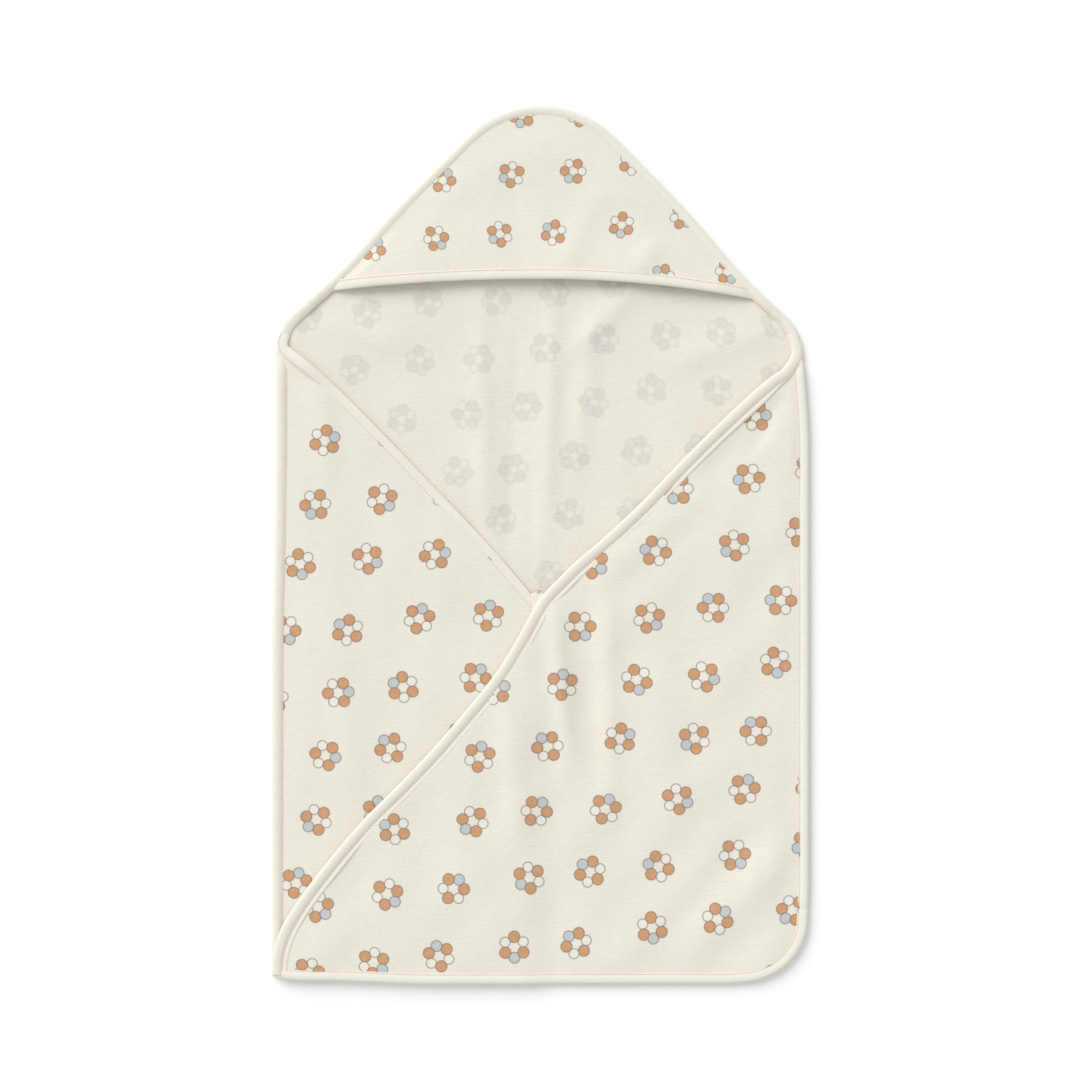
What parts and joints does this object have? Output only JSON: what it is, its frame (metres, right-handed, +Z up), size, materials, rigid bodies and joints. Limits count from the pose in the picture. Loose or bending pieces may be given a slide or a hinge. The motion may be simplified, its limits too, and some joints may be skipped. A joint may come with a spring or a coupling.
{
  "type": "hooded baby towel",
  "caption": "Hooded baby towel lying flat, wrapped closed: crossed front flaps that open like doors and a rounded hood that folds up.",
  "frame": {"origin": "centre of the towel's outline, on the surface that it lies on", "axes": "+X to the right side seen from above, +Y towards the top of the hood, +Z up from the surface"},
  "size_m": [0.484, 0.8, 0.0102],
  "materials": {
    "towelling": "cream brushed cotton towelling, matt, printed with a small repeat",
    "binding": "cream cotton jersey tape, soft sheen, stitched along its inner edge"
  },
  "bodies": {
    "back": {"back_panel": "towelling", "back_hem_binding": "binding", "left_side_binding": "binding", "right_side_binding": "binding", "left_shoulder_binding": "binding", "right_shoulder_binding": "binding"},
    "hood": {"hood_back_panel": "towelling", "hood_front_panel": "towelling", "hood_rim_binding": "binding", "hood_edge_binding": "binding"},
    "left_flap": {"left_flap_panel": "towelling", "left_flap_edge_binding": "binding", "left_flap_hem_binding": "binding"},
    "right_flap": {"right_flap_panel": "towelling", "right_flap_edge_binding": "binding", "right_flap_hem_binding": "binding"}
  },
  "joints": [
    {"name": "right_flap_fold", "type": "hinge", "parent": "back", "child": "right_flap", "pos_m": [0.242, 0, 0.01035], "axis": [0, 1, 0], "range_deg": [0, 175]},
    {"name": "left_flap_fold", "type": "hinge", "parent": "back", "child": "left_flap", "pos_m": [-0.242, 0, 0.00685], "axis": [0, -1, 0], "range_deg": [0, 175]},
    {"name": "hood_fold", "type": "hinge", "parent": "back", "child": "hood", "pos_m": [0, 0.2169, 0.01035], "axis": [1, 0, 0], "range_deg": [0, 120]}
  ],
  "couplings": [
    {"joint": "left_flap_fold", "follows": "right_flap_fold", "ratio": 1}
  ]
}
